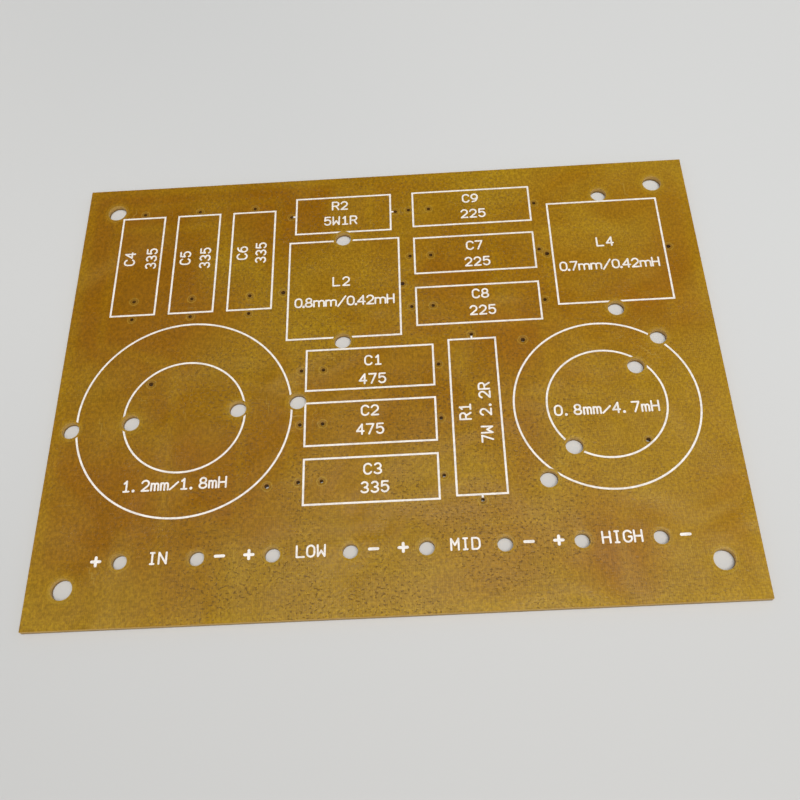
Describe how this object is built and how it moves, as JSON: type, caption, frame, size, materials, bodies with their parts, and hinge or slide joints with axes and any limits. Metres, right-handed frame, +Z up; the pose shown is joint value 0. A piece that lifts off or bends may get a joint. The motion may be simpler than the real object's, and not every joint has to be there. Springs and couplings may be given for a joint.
{
  "type": "bare speaker crossover circuit board",
  "caption": "Bare amber crossover circuit board: a drilled flat panel with white printed component outlines, coil rings and a row of terminal holes along its front edge.",
  "frame": {"origin": "centre of the underside, on the surface that the board rests on", "axes": "+X along the long side, to the right of the terminal row; +Y from the terminal row to the back edge; +Z up out of the printed side"},
  "size_m": [0.16, 0.12, 0.0017],
  "materials": {
    "laminate": "semi-gloss amber glass-epoxy",
    "copper": "copper foil under green solder resist",
    "ink": "matt white printed ink"
  },
  "bodies": {
    "root": {"laminate": "laminate", "copper_input": "copper", "copper_ground": "copper", "copper_woofer": "copper", "copper_mid_feed": "copper", "copper_mid_filter": "copper", "copper_mid_output": "copper", "copper_tweeter_feed": "copper", "copper_tweeter_output": "copper", "outline_c1": "ink", "outline_c2": "ink", "outline_c3": "ink", "outline_c4": "ink", "outline_c5": "ink", "outline_c6": "ink", "outline_c7": "ink", "outline_c8": "ink", "outline_c9": "ink", "outline_l1": "ink", "outline_l2": "ink", "outline_l3": "ink", "outline_l4": "ink", "outline_r1": "ink", "outline_r2": "ink", "polarity_marks": "ink"}
  },
  "joints": []
}
